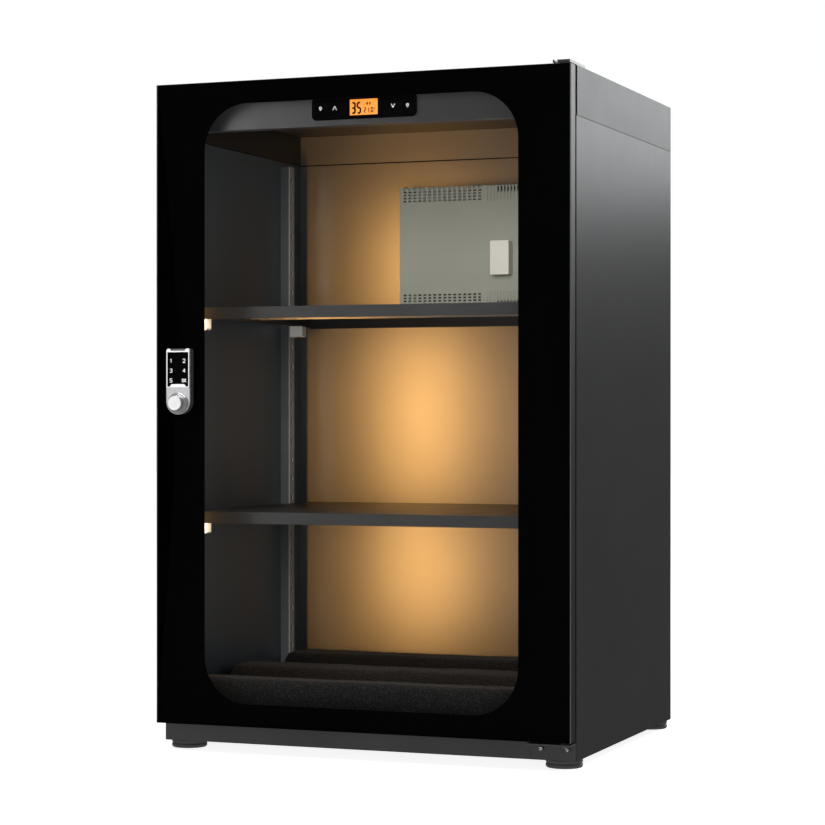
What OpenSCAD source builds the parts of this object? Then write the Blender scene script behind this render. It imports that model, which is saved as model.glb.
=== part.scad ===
// Upright desiccator cabinet with a hinged glass door, code lock, two shelves and a
// self-regenerating dehumidifier. X runs to the right, Y to the back, Z up.
// The origin is the middle of the footprint, on the floor. Millimetres.

/* [Cabinet] */
// Outer width of the cabinet and its door
cab_w = 584.8; // [480:0.2:700]
// Depth of the sheet metal body behind the door
body_d = 461.7; // [380:0.1:600]
// Height of the top of the body above the floor
cab_h = 900; // [800:1:1100]
// Height of the feet, from the floor to the underside of the base
foot_h = 10.8; // [8:0.2:20]
// Thickness of the folded steel sheet
sheet_t = 1.2; // [0.8:0.1:2]
// Height of the plinth strip that shows below the door, from the floor
plinth_top = 40; // [36:1:60]
// Height of the top cap
cap_h = 64.5; // [58:0.5:90]
// How far the cap's side skirts stand back from the body's front plane
cap_setback = 3.2; // [1:0.1:8]
// Seam between the cap and the body
seam_gap = 0.6; // [0.2:0.1:1]
// Width of the front flange of each side panel
front_flange = 24; // [18:0.5:30]
// Width of the rear flange of each side panel
rear_flange = 15; // [10:0.5:30]
// Depth by which the back panel is set in from the rear edge
back_recess = 9; // [6:0.5:14]
// Height of the sill above the plinth
sill_h = 22; // [15:1:30]
// Depth of the header channel
header_d = 20; // [15:1:30]
// Height of the space above the ceiling
roof_space = 18.8; // [16:0.2:30]

/* [Feet] */
// Diameter of a foot
foot_d = 48; // [36:1:52]
// Diameter of a foot's threaded stud
foot_stud_d = 8; // [6:1:12]
// Travel of a levelling foot
foot_travel = 10; // [5:1:14]
// Height of a foot nut
foot_nut_h = 8; // [6:0.5:9]
// Inset of a front foot's centre behind the body's front plane
foot_front_inset = 24.7; // [24:0.1:60]

/* [Door] */
// Thickness of the door, glass and frame together
door_t = 22; // [18:0.5:28]
// Gap between the door's frame and the body
door_gap = 5.3; // [4:0.1:8]
// Height of the door's lower edge above the floor
door_bottom = 37; // [35:0.5:40]
// Gap between the door's upper edge and the top of the body
door_top_gap = 1; // [0.8:0.1:2]
// Thickness of the door glass
glass_t = 3.6; // [3:0.1:6]
// Thickness of the black border behind the glass
mask_t = 0.4; // [0.3:0.1:1]
// Width of the border at the sides of the window
window_side = 70.4; // [60:0.2:90]
// Width of the border above and below the window
window_end = 30; // [28:0.5:60]
// Corner radius of the window
window_r = 62; // [30:1:80]
// Face width of the door's frame profile
profile_w = 24; // [22:0.5:30]
// Wall of the door's frame profile
profile_wall = 1.6; // [1.2:0.1:2.4]
// Width of the door seal
seal_w = 10; // [8:0.5:12]
// Distance from the seal's centre to the door's edge
seal_inset = 18.5; // [17:0.1:20]
// Length of each leg of a corner key
key_leg = 46; // [30:1:80]

/* [Door hinge] */
// Distance of the hinge axis from the door's right edge
hinge_inset = 10; // [8:0.5:11]
// Distance of the hinge axis behind the glass front
hinge_back = 11; // [10:0.2:12]
// Diameter of the hinge pins
hinge_pin_d = 6; // [4:0.5:8]
// Depth of a hinge pin in the door
hinge_pin_in = 13; // [8:0.5:14]
// Thickness of the lower hinge bracket
bracket_t = 2.5; // [2:0.1:4]
// Width of the upper hinge bracket, with its stop finger
bracket_top_w = 22.8; // [21:0.2:40]
// Thickness of the upper hinge bracket
bracket_top_t = 3.6; // [3:0.1:5]
// Width of the lower hinge bracket
bracket_low_w = 59; // [50:1:90]

/* [Lock] */
// Width of the lock housing
lock_w = 35.6; // [32:0.2:44]
// Height of the lock housing
lock_h = 88.6; // [80:0.2:110]
// Depth of the lock housing in front of the glass
lock_d = 12; // [10:0.2:18]
// Distance of the lock's centre line from the door's left edge
lock_inset = 38.1; // [36:0.1:44]
// Height of the lock's spindle above the floor
lock_z = 469; // [300:1:600]
// Height of the lock below its spindle
lock_drop = 15.2; // [14.8:0.2:20]
// Thickness of the silver bezel
bezel_t = 3; // [2:0.2:5]
// Width of the keypad
keypad_w = 31; // [26:0.5:34]
// Height of the keypad
keypad_h = 46; // [38:0.2:52]
// Depth of the keypad's pocket in the bezel
keypad_t = 1.2; // [0.8:0.1:2]
// Length of the knob in front of the housing
knob_len = 10.6; // [9:0.2:24]
// Diameter of the knob's face
knob_d = 22; // [18:0.2:24]
// Diameter of the knob's skirt
knob_skirt_d = 28.4; // [26:0.2:29.4]
// Diameter of the lock's spindle
spindle_d = 8; // [6:0.5:10]
// Reach of the cam from the spindle's axis
cam_reach = 24; // [20:0.5:25]
// Thickness of the cam
cam_t = 2.5; // [2:0.1:4]

/* [Inside] */
// Slot that holds the lower shelf's clips, counted from below
shelf_low_slot = 9; // [5:1:12]
// Slot that holds the upper shelf's clips, counted from below
shelf_high_slot = 19; // [16:1:20]
// Height of the front and rear lips of a shelf
shelf_lip = 16; // [12:0.5:24]
// Height of the side lips of a shelf
shelf_side_lip = 14; // [8:0.5:15]
// Distance of a shelf's front edge behind the body's front plane
shelf_front = 47.7; // [30:0.1:80]
// Gap between a shelf's rear edge and the back panel
shelf_rear_gap = 5; // [3:0.5:20]
// Side clearance between a shelf and the posts
shelf_side_gap = 2.4; // [1:0.1:6]
// Depth of the stiffener under a shelf
stiffener_h = 8; // [6:0.5:13]
// Width of a post, along Y
post_w = 17; // [14:0.5:24]
// Stand-off of a post from the wall
post_d = 14.8; // [10:0.2:20]
// Gap between the top of the posts and the header
post_top_gap = 9.1; // [4:0.1:30]
// Number of slots in a post
slot_count = 28; // [26:1:30]
// Distance of the front posts behind the body's front plane
post_front = 52; // [50:0.1:80]
// Distance of the rear posts behind the body's front plane
post_rear = 377.7; // [300:0.1:385]
// Reach of a shelf clip from its post
clip_reach = 20; // [16:0.5:30]
// Height of a shelf clip
clip_h = 16.5; // [12:0.5:20]
// Width of a shelf clip, along Y
clip_w = 14; // [10:0.5:16]
// Height of the foam pad's ridges above the interior floor
pad_h = 58.5; // [40:0.5:90]
// Height of the foam pad in its valleys
pad_valley = 24; // [12:1:36]
// Pitch of the foam pad's ridges
pad_pitch = 186; // [150:1:200]
// Width of the flat top of a ridge
ridge_top = 62; // [40:1:80]
// Run of a ridge's sloping side
ridge_slope = 26; // [10:1:40]

/* [Dehumidifier] */
// Width of the dehumidifier's housing
dry_w = 224; // [200:1:260]
// Height of the dehumidifier's housing
dry_h = 180; // [170:1:200]
// Depth of the dehumidifier's housing
dry_d = 40; // [34:0.5:50]
// Gap between the upper shelf and the dehumidifier
dry_gap = 11; // [8:0.5:40]
// Wall of the dehumidifier's cover
dry_wall = 2.2; // [1.6:0.1:3]
// Pitch of the vent columns
vent_pitch = 7.9; // [7:0.1:10]
// Width of a vent slot
vent_w = 4.6; // [3:0.1:5.5]
// Height of a vent slot
vent_h = 2.2; // [1.6:0.1:3]
// Pitch of the vent rows
vent_row = 4.5; // [4:0.1:6]
// Rows of vent slots in each block
vent_rows = 5; // [3:1:7]
// Columns of vent slots in each block
vent_cols = 16; // [8:1:18]
// Length of the shutter flap
flap_len = 104; // [80:1:110]
// Height of the shutter flap
flap_h = 22; // [16:0.5:26]
// Diameter of the shutter's shaft
flap_shaft_d = 4; // [3:0.2:5]
// Width of the sensor box
sensor_w = 28.7; // [20:0.1:36]
// Height of the sensor box
sensor_h = 50; // [36:1:60]
// Depth of the sensor box
sensor_d = 19; // [12:0.5:24]

/* [Controls] */
// Width of the control panel
panel_w = 149; // [120:1:180]
// Height of the control panel
panel_h = 30.7; // [24:0.1:32]
// Thickness of the control panel
panel_t = 2; // [1.5:0.1:3]
// Width of the display
lcd_w = 39.5; // [30:0.5:50]
// Height of the display
lcd_h = 20.7; // [16:0.1:24]
// Width of a light strip
led_w = 9; // [6:0.5:10]
// Pitch of the lamps on a light strip
led_pitch = 24; // [12:1:60]
// Diameter of the power jack's flange
jack_flange_d = 15; // [12:0.5:24]
// Thickness of the power jack's flange
jack_flange_t = 1.5; // [1:0.1:3]

/* [Hidden] */

$fn = 48;
run_gap = 0.05;   // radial clearance of a shaft in its bearing
seat_gap = 0.2;   // clearance between pieces of sheet that slide together
drop_gap = 0.3;   // clearance between a soft piece and its neighbour

// Planes along X
half_w = cab_w / 2;
wall_x = half_w - sheet_t;
flange_x = half_w - front_flange;
post_x = wall_x - post_d;

// Planes along Y
overall_d = lock_d + knob_len + door_t + door_gap + body_d + jack_flange_t;
y_glass = -overall_d / 2 + lock_d + knob_len;
y_mask = y_glass + glass_t;
y_frame = y_mask + mask_t;
y_door_back = y_glass + door_t;
y_body = y_door_back + door_gap;
y_back = y_body + body_d;
y_wall = y_back - back_recess;
y_flange_back = y_body + sheet_t;

// Planes along Z
z_base = foot_h + sheet_t;
z_floor = plinth_top;
z_seam = cab_h - cap_h;
z_door_top = cab_h - door_top_gap;
z_ceiling = cab_h - sheet_t - roof_space;
z_header = z_seam + 1.1;
gasket_t = 0.8;
gasket_over = 0.5;

// Door frame
frame_d = door_t - glass_t - mask_t;
chamber_w = 13.5;
chamber_d = frame_d - 2 * profile_wall;
groove_w = 3.6;
groove_d = 5;
seal_t = door_gap - drop_gap;

// Hinge
hinge_x = half_w - hinge_inset;
hinge_y = y_glass + hinge_back;
pin_r = hinge_pin_d / 2;
pin_head_r = pin_r + 2;
pin_head_t = 2.4;
tongue_top = door_bottom - bracket_t;
screw_r = 1.9;
screw_head_r = 3.3;
screw_head_t = 2;
screw_len = 7;
bracket_front = 3;
bracket_edge = 0.4;
bracket_top_back = 40;
bracket_top_front = 0.8;
finger_w = 2.4;
finger_gap = 3.6;
bracket_top_screws = [12, 30];
bracket_low_screws = [36.5, 1];
bracket_screw_z = 25.5;

// Lock
lock_x = -half_w + lock_inset;
lock_low_z = lock_z - lock_drop;
lock_top_z = lock_low_z + lock_h;
spindle_r = spindle_d / 2;
lock_foot_z = lock_low_z + lock_w / 2;
keypad_top_z = lock_top_z - 5;
keypad_sill = 1.8;
lock_step = 0.8;
lock_step_z = keypad_top_z - keypad_h - keypad_sill;
back_plate_w = 20;
back_plate_h = 84;
back_plate_t = 2;
lock_screw_r = 2;
lock_screw_zs = [lock_z + 22, lock_top_z - 9.5];
lock_screw_depth = 8;
cam_y = y_flange_back + 1.5;
cam_w = 14;
cam_hole = 5.7;
cam_square = 5.6;
nut_t = 4;
knob_wall = 3;

// Posts and clips
post_top = z_header - post_top_gap;
slot_first = 5.6;
slot_last = 17;
slot_w = 5;
slot_h = 7;
slot_pitch = (post_top - z_floor - slot_first - slot_last - slot_h) / (slot_count - 1);
post_ys = [y_body + post_front, y_body + post_rear];

// Shelves
clip_rise = 8.1;
shelf_low_z = shelf_top(shelf_low_slot);
shelf_high_z = shelf_top(shelf_high_slot);
shelf_half = post_x - shelf_side_gap;
shelf_y0 = y_body + shelf_front;
shelf_y1 = y_wall - shelf_rear_gap;
stiffener_w = 30;

// Dehumidifier
dry_z0 = shelf_high_z + dry_gap;
dry_z1 = dry_z0 + dry_h;
dry_half = dry_w / 2;
dry_front = y_wall - dry_d;
dry_base_t = 2;
dry_inner_y = y_wall - dry_base_t;
vent_x0 = -dry_half + 6.4;
vent_block = vent_cols * vent_pitch;
vent_margin = 0.8;
rib_x0 = vent_x0 + vent_block + 6.6;
rib_pitch = 5.1;
rib_count = floor((dry_half - 4 - rib_x0) / rib_pitch);
rib_slot_w = 2.6;
rib_slot_h = 9;
rib_groove_h = 14;
rib_closed = 3;
rib_groove_d = 0.8;
flap_x0 = -dry_half + 12;
flap_t = 1.6;
flap_shaft_r = flap_shaft_d / 2;
flap_y = dry_inner_y - 5;
flap_z = dry_z0 + 31;
port_h = 18;
port_z0 = dry_z0 + 10;
port_slots = 3;
motor_r = 10;
motor_len = 14;
cartridge_z0 = flap_z + 12;
cartridge_h = 100;
cartridge_d = 22;
cover_screw_xs = [-dry_half + 7, -dry_half + 126];
cover_screw_y = dry_front + 7;
tab_w = 8;
tab_t = 3;
tab_z0 = dry_z1 - dry_wall - seat_gap - tab_t;
board_rise = 50;
board_drop = 20;
shaft_over = 6;
sensor_x0 = 37.8;
sensor_rise = 47;
sensor_z0 = dry_z0 + sensor_rise;

// Control panel
panel_z0 = z_header + 7.4;
panel_r = 7;

// Power jack
jack_inset = 60;
jack_x = half_w - jack_inset;
jack_z = cab_h - sheet_t - roof_space / 2;
jack_r = 5.5;
jack_len = 14;
jack_bore_r = 3.1;
jack_pin_r = 1.1;
jack_floor = 3;

// Foam pad
pad_y0 = y_flange_back + 8;
pad_y1 = y_wall - 6;
pad_first = 10;
pad_side_gap = 1.5;

// Light strips
led_x0 = wall_x - sheet_t - led_w;
led_t = 1.2;
lamp_t = 0.8;
lamp_w = 5;
led_z0 = z_floor + sill_h + 6;
led_z1 = z_header - 10;

// Feet
foot_x = half_w - foot_d / 2;
foot_ys = [y_body + foot_front_inset, y_back - foot_d / 2];
foot_stud_r = foot_stud_d / 2;
foot_stud_top = z_base + foot_nut_h + foot_travel;
foot_nut_r = foot_stud_r + 3.5;

// Underside of a slot in the posts, by its number from below
function slot_z(slot) = z_floor + slot_first + slot * slot_pitch;

// Top face of a shelf whose clips sit in the given slot
function shelf_top(slot) = slot_z(slot) + clip_rise + shelf_side_lip;

// Box given by its limits
module slab(x0, x1, y0, y1, z0, z1)
    translate([x0, y0, z0]) cube([x1 - x0, y1 - y0, z1 - z0]);

// Extrude a drawing of (x, z) along Y, from y0
module along_y(y0, len)
    translate([0, y0 + len, 0]) rotate([90, 0, 0]) linear_extrude(len) children();

// Extrude a drawing of (y, z) along X, from x0
module along_x(x0, len)
    translate([x0, 0, 0]) rotate([90, 0, 90]) linear_extrude(len) children();

// Cylinder along Y, from y0
module rod_y(x, z, r, y0, len)
    translate([x, y0 + len, z]) rotate([90, 0, 0]) cylinder(r = r, h = len);

// Cylinder along X, from x0
module rod_x(y, z, r, x0, len)
    translate([x0, y, z]) rotate([0, 90, 0]) cylinder(r = r, h = len);

// Upright cylinder, from z0
module rod_z(x, y, r, z0, len)
    translate([x, y, z0]) cylinder(r = r, h = len);

// Rectangle with round corners, by its limits
module round_rect(x0, x1, z0, z1, r) {
    translate([x0 + r, z0]) square([x1 - x0 - 2 * r, z1 - z0]);
    translate([x0, z0 + r]) square([x1 - x0, z1 - z0 - 2 * r]);
    for (x = [x0 + r, x1 - r], z = [z0 + r, z1 - r])
        translate([x, z]) circle(r);
}

// The children and their mirror image across the middle plane
module both_sides() {
    children();
    mirror([1, 0, 0]) children();
}

// ---- body ----

// Base: plinth and sill in front, bottom plate, rear upstand
module base_tray() color([0.2, 0.2, 0.21]) difference() {
    union() {
        slab(-wall_x, wall_x, y_body, y_back, foot_h, z_base);
        slab(-wall_x, wall_x, y_body, y_flange_back, z_base, plinth_top);
        slab(-flange_x + seat_gap, flange_x - seat_gap, y_body, y_flange_back,
             plinth_top, plinth_top + sill_h);
        slab(-wall_x, wall_x, y_back - sheet_t, y_back, z_base, plinth_top - seat_gap);
    }
    for (x = [-foot_x, foot_x], y = foot_ys)
        rod_z(x, y, foot_stud_r + 0.6, foot_h - 1, sheet_t + 2);
    for (dx = bracket_low_screws)
        rod_y(hinge_x - dx, bracket_screw_z, screw_r, y_body - 1, sheet_t + 2);
}

// Inverted tray that makes the interior floor
module floor_panel() color([0.22, 0.22, 0.23]) difference() {
    slab(-wall_x, wall_x, y_flange_back + seat_gap, y_wall, z_base, z_floor);
    slab(-wall_x + sheet_t, wall_x - sheet_t, y_flange_back + seat_gap + sheet_t,
         y_wall - sheet_t, z_base - 1, z_floor - sheet_t);
    for (dx = bracket_low_screws)
        rod_y(hinge_x - dx, bracket_screw_z, screw_r + 0.6, y_flange_back, sheet_t + 2);
}

// Side sheet with a front and a rear flange; the front one starts above the plinth
module side_panel() {
    slab(wall_x, half_w, y_body, y_back, foot_h, z_seam);
    slab(flange_x, wall_x, y_body, y_flange_back, plinth_top + seat_gap, z_seam);
    slab(half_w - rear_flange, wall_x, y_back - sheet_t, y_back, plinth_top, z_seam);
}

module side_panel_left() color([0.24, 0.24, 0.25]) mirror([1, 0, 0]) side_panel();

module side_panel_right() color([0.24, 0.24, 0.25]) side_panel();

// Recessed back sheet with lips that reach the rear flanges, and the dehumidifier's port
module back_panel() color([0.3, 0.29, 0.28]) difference() {
    slab(-wall_x, wall_x, y_wall, y_back - sheet_t, plinth_top, z_seam);
    slab(-wall_x + sheet_t, wall_x - sheet_t, y_wall + sheet_t, y_back,
         plinth_top + sheet_t, z_seam - sheet_t);
    port_slots_cut(y_wall - 1, sheet_t + 2);
}

// Row of long slots where the moist air leaves
module port_slots_cut(y0, len)
    for (i = [0 : port_slots - 1])
        slab(flap_x0 + 6, flap_x0 + flap_len - 6, y0, y0 + len,
             port_z0 + i * port_h / port_slots, port_z0 + i * port_h / port_slots + 4);

// Ceiling with a flange down the back wall
module ceiling_panel() color([0.3, 0.3, 0.3]) {
    slab(-wall_x, wall_x, y_body + header_d, y_wall + sheet_t, z_ceiling, z_ceiling + sheet_t);
    slab(-wall_x, wall_x, y_wall, y_wall + sheet_t, z_seam + seam_gap, z_ceiling);
}

// Cap: top sheet with side and rear skirts, over the header in front
module top_cap() color([0.24, 0.24, 0.25]) difference() {
    union() {
        slab(-half_w, half_w, y_body, y_back, cab_h - sheet_t, cab_h);
        both_sides()
            slab(wall_x, half_w, y_body + cap_setback, y_back, z_seam + seam_gap, cab_h - sheet_t);
        slab(-wall_x, wall_x, y_back - sheet_t, y_back, z_seam + seam_gap, cab_h - sheet_t);
    }
    for (dy = bracket_top_screws)
        rod_z(hinge_x, y_body + dy, screw_r, cab_h - sheet_t - 1, sheet_t + 2);
    rod_y(jack_x, jack_z, jack_r, y_back - sheet_t - 1, sheet_t + 2);
}

// Rubber strip in the seam between body and cap, with a bead on the inside
module cap_gasket() color([0.05, 0.05, 0.05]) {
    z1 = z_seam + seam_gap;
    y0 = y_body + header_d + drop_gap;
    both_sides() {
        slab(wall_x - gasket_t, wall_x + sheet_t - seat_gap, y0, y_wall, z_seam, z1);
        slab(wall_x - gasket_t, wall_x, y0, y_wall, z_seam - gasket_over, z1 + gasket_over);
    }
    slab(-wall_x, wall_x, y_wall - gasket_t, y_wall + sheet_t - seat_gap, z_seam, z1);
    slab(-wall_x, wall_x, y_wall - gasket_t, y_wall, z_seam - gasket_over, z1 + gasket_over);
}

// Header channel above the door opening
module header_bar() color([0.24, 0.24, 0.25]) difference() {
    slab(-wall_x, wall_x, y_body, y_body + header_d, z_header, cab_h - sheet_t);
    slab(-wall_x - 1, wall_x + 1, y_flange_back, y_body + header_d - sheet_t,
         z_header + sheet_t, cab_h);
    slab(-wall_x - 1, wall_x + 1, y_body + header_d - sheet_t - 1, y_body + header_d + 1,
         z_ceiling + sheet_t, cab_h);
    along_y(y_body - 1, sheet_t + 2)
        round_rect(-lcd_w / 2 - 6, lcd_w / 2 + 6, panel_z0 + 6, panel_z0 + panel_h - 6, 3);
}

// Upright channel with a column of slots, open towards the wall
module post(y0) difference() {
    slab(post_x, wall_x, y0, y0 + post_w, z_floor, post_top);
    slab(post_x + sheet_t, wall_x + 1, y0 + sheet_t, y0 + post_w - sheet_t,
         z_floor - 1, post_top + 1);
    for (i = [0 : slot_count - 1])
        slab(post_x - 1, post_x + sheet_t + 1, y0 + post_w / 2 - slot_w / 2,
             y0 + post_w / 2 + slot_w / 2, slot_z(i), slot_z(i) + slot_h);
}

module post_front_left() color([0.3, 0.3, 0.31]) mirror([1, 0, 0]) post(post_ys[0]);

module post_front_right() color([0.3, 0.3, 0.31]) post(post_ys[0]);

module post_rear_left() color([0.3, 0.3, 0.31]) mirror([1, 0, 0]) post(post_ys[1]);

module post_rear_right() color([0.3, 0.3, 0.31]) post(post_ys[1]);

// ---- light and controls ----

// Lamp strip on the back of a front flange
module led_strip() {
    slab(led_x0, led_x0 + led_w, y_flange_back, y_flange_back + led_t, led_z0, led_z1);
    for (z = [led_z0 + 10 : led_pitch : led_z1 - 10])
        slab(led_x0 + led_w / 2 - lamp_w / 2, led_x0 + led_w / 2 + lamp_w / 2,
             y_flange_back + led_t, y_flange_back + led_t + lamp_t, z - lamp_w / 2,
             z + lamp_w / 2);
}

module led_strip_left() color([1, 0.85, 0.6]) mirror([1, 0, 0]) led_strip();

module led_strip_right() color([1, 0.85, 0.6]) led_strip();

// Glossy touch panel on the header, with a pocket for the display
module control_panel() color([0.03, 0.03, 0.03]) difference() {
    along_y(y_body - panel_t, panel_t)
        round_rect(-panel_w / 2, panel_w / 2, panel_z0, panel_z0 + panel_h, panel_r);
    slab(-lcd_w / 2, lcd_w / 2, y_body - panel_t - 1, y_body - panel_t / 2,
         panel_z0 + panel_h / 2 - lcd_h / 2, panel_z0 + panel_h / 2 + lcd_h / 2);
}

module lcd_display() color([1, 0.5, 0.1])
    slab(-lcd_w / 2, lcd_w / 2, y_body - panel_t, y_body - panel_t / 2,
         panel_z0 + panel_h / 2 - lcd_h / 2, panel_z0 + panel_h / 2 + lcd_h / 2);

// Circuit board behind the header's face, with its display driver and a connector
module control_board() color([0.1, 0.35, 0.15]) {
    slab(-panel_w / 2 + 6, panel_w / 2 - 6, y_flange_back + 6, y_flange_back + 7.6,
         z_header + sheet_t, z_header + sheet_t + 30);
    slab(-lcd_w / 2, lcd_w / 2, y_flange_back, y_flange_back + 6,
         panel_z0 + 8, panel_z0 + panel_h - 8);
    slab(panel_w / 2 - 24, panel_w / 2 - 12, y_flange_back + 7.6, y_flange_back + 14,
         z_header + sheet_t + 10, z_header + sheet_t + 20);
}

// Low voltage inlet at the back of the cap
module power_jack() color([0.06, 0.06, 0.06]) {
    difference() {
        union() {
            rod_y(jack_x, jack_z, jack_flange_d / 2, y_back, jack_flange_t);
            rod_y(jack_x, jack_z, jack_r, y_back - jack_len, jack_len + jack_flange_t / 2);
        }
        rod_y(jack_x, jack_z, jack_bore_r, y_back - jack_len + jack_floor, jack_len + jack_flange_t);
    }
    rod_y(jack_x, jack_z, jack_pin_r, y_back - jack_len + jack_floor / 2, jack_len - jack_floor);
}

// ---- shelves and floor pad ----

// Folded sheet tray with its lips turned down
module shelf(z) difference() {
    slab(-shelf_half, shelf_half, shelf_y0, shelf_y1, z - shelf_lip, z);
    slab(-shelf_half + sheet_t, shelf_half - sheet_t, shelf_y0 + sheet_t, shelf_y1 - sheet_t,
         z - shelf_lip - 1, z - sheet_t);
    both_sides()
        slab(shelf_half - 2 * sheet_t, shelf_half + 1, shelf_y0 + sheet_t, shelf_y1 - sheet_t,
             z - shelf_lip - 1, z - shelf_side_lip);
}

module shelf_lower() color([0.3, 0.3, 0.31]) shelf(shelf_low_z);

module shelf_upper() color([0.3, 0.3, 0.31]) shelf(shelf_high_z);

// Channel under the middle of each shelf
module stiffener(z) {
    y0 = (shelf_y0 + shelf_y1 - stiffener_w) / 2;
    x1 = shelf_half - sheet_t;
    difference() {
        slab(-x1, x1, y0, y0 + stiffener_w, z - sheet_t - stiffener_h, z - sheet_t);
        slab(-x1 - 1, x1 + 1, y0 + sheet_t, y0 + stiffener_w - sheet_t,
             z - 2 * sheet_t - stiffener_h - 1, z - 2 * sheet_t);
    }
}

module shelf_stiffeners() color([0.3, 0.3, 0.31]) {
    stiffener(shelf_low_z);
    stiffener(shelf_high_z);
}

// White clip hooked in a post: nose with a notch below, and a tongue in the slot
module clip(y, slot) {
    top = slot_z(slot) + clip_rise;
    r = 3;
    difference() {
        along_y(y - clip_w / 2, clip_w) {
            round_rect(post_x - clip_reach, post_x, top - clip_h, top, r);
            translate([post_x - r, top - clip_h]) square([r, clip_h]);
        }
        along_y(y - clip_w / 2 - 1, clip_w + 2)
            translate([post_x - clip_reach + 7, top - clip_h]) circle(2.2);
    }
    slab(post_x, post_x + sheet_t + 2.5, y - slot_w / 2 + seat_gap, y + slot_w / 2 - seat_gap,
         slot_z(slot) + seat_gap, slot_z(slot) + slot_h - seat_gap);
}

module shelf_clips() color([0.93, 0.92, 0.9])
    both_sides()
        for (y = post_ys, slot = [shelf_low_slot, shelf_high_slot])
            clip(y + post_w / 2, slot);

// Foam pad with ridges that run across the cabinet
module foam_pad() color([0.09, 0.09, 0.09])
    along_x(-post_x + pad_side_gap, 2 * (post_x - pad_side_gap)) intersection() {
        translate([pad_y0, z_floor + drop_gap]) square([pad_y1 - pad_y0, pad_h]);
        union() {
            translate([pad_y0, z_floor]) square([pad_y1 - pad_y0, pad_valley]);
            for (i = [0 : floor((pad_y1 - pad_y0) / pad_pitch)])
                translate([pad_y0 + pad_first + i * pad_pitch, z_floor]) polygon([
                    [-ridge_top / 2 - ridge_slope, pad_valley - 1],
                    [ridge_top / 2 + ridge_slope, pad_valley - 1],
                    [ridge_top / 2, pad_h],
                    [-ridge_top / 2, pad_h]
                ]);
        }
    }

// ---- dehumidifier ----

// Rear plate with the port, two bearing ears for the shutter's shaft and two cover tabs
module dehumidifier_base() color([0.5, 0.5, 0.46]) difference() {
    union() {
        slab(-dry_half, dry_half, dry_inner_y, y_wall, dry_z0, dry_z1);
        for (x = [flap_x0 - 5, flap_x0 + flap_len + 1])
            slab(x, x + 4, flap_y - 4, dry_inner_y, flap_z - 5, flap_z + 5);
        for (x = cover_screw_xs)
            slab(x - tab_w / 2, x + tab_w / 2, dry_front + dry_wall + seat_gap, dry_inner_y,
                 tab_z0, tab_z0 + tab_t);
    }
    for (x = cover_screw_xs)
        rod_z(x, cover_screw_y, screw_r, tab_z0 - 1, tab_t + 2);
    port_slots_cut(dry_inner_y - 1, dry_base_t + 2);
    rod_x(flap_y, flap_z, flap_shaft_r + run_gap, flap_x0 - shaft_over,
          flap_len + 2 * shaft_over);
}

// Vent slots in rows and columns
module vent_block_cut(z0)
    for (i = [0 : vent_cols - 1], j = [0 : vent_rows - 1])
        slab(vent_x0 + i * vent_pitch, vent_x0 + i * vent_pitch + vent_w, dry_front - 1,
             dry_front + dry_wall + 1, z0 + j * vent_row, z0 + j * vent_row + vent_h);

// Upright slots with a shallow groove that runs on from each; the first are grooves only
module rib_block_cut(z_slot, z_groove)
    for (i = [0 : rib_count - 1]) {
        x = rib_x0 + i * rib_pitch;
        if (i >= rib_closed)
            slab(x, x + rib_slot_w, dry_front - 1, dry_front + dry_wall + 1, z_slot,
                 z_slot + rib_slot_h);
        else
            slab(x, x + rib_slot_w, dry_front - 1, dry_front + rib_groove_d, z_slot,
                 z_slot + rib_slot_h);
        slab(x, x + rib_slot_w, dry_front - 1, dry_front + rib_groove_d, z_groove,
             z_groove + rib_groove_h);
    }

// Moulded front shell
module dehumidifier_cover() color([0.53, 0.52, 0.47]) difference() {
    slab(-dry_half, dry_half, dry_front, dry_inner_y, dry_z0, dry_z1);
    slab(-dry_half + dry_wall, dry_half - dry_wall, dry_front + dry_wall, y_wall,
         dry_z0 + dry_wall, dry_z1 - dry_wall);
    for (x = cover_screw_xs)
        rod_z(x, cover_screw_y, screw_r + run_gap, dry_z1 - dry_wall - 1, dry_wall + 2);
    vent_block_cut(dry_z1 - vent_margin - (vent_rows - 1) * vent_row - vent_h);
    vent_block_cut(dry_z0 + vent_margin);
    rib_block_cut(dry_z1 - vent_margin - rib_slot_h,
                  dry_z1 - vent_margin - rib_slot_h - rib_groove_h + 1);
    rib_block_cut(dry_z0 + vent_margin, dry_z0 + vent_margin + rib_slot_h - 1);
}

// Cartridge of drying granules: frame with a grid of windows on its front
module desiccant_cartridge() color([0.75, 0.75, 0.72]) difference() {
    y1 = dry_inner_y - 3;
    slab(flap_x0, flap_x0 + flap_len, y1 - cartridge_d, y1, cartridge_z0,
         cartridge_z0 + cartridge_h);
    for (i = [0 : 4], j = [0 : 4])
        slab(flap_x0 + 4 + i * (flap_len - 4) / 5, flap_x0 + (i + 1) * (flap_len - 4) / 5,
             y1 - cartridge_d - 1, y1 - cartridge_d + 2,
             cartridge_z0 + 4 + j * (cartridge_h - 4) / 5,
             cartridge_z0 + (j + 1) * (cartridge_h - 4) / 5);
}

// Flat heater behind the cartridge
module heater_plate() color([0.7, 0.7, 0.72])
    slab(flap_x0 + 4, flap_x0 + flap_len - 4, dry_inner_y - 3, dry_inner_y,
         cartridge_z0 + 5, cartridge_z0 + cartridge_h - 5);

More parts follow.
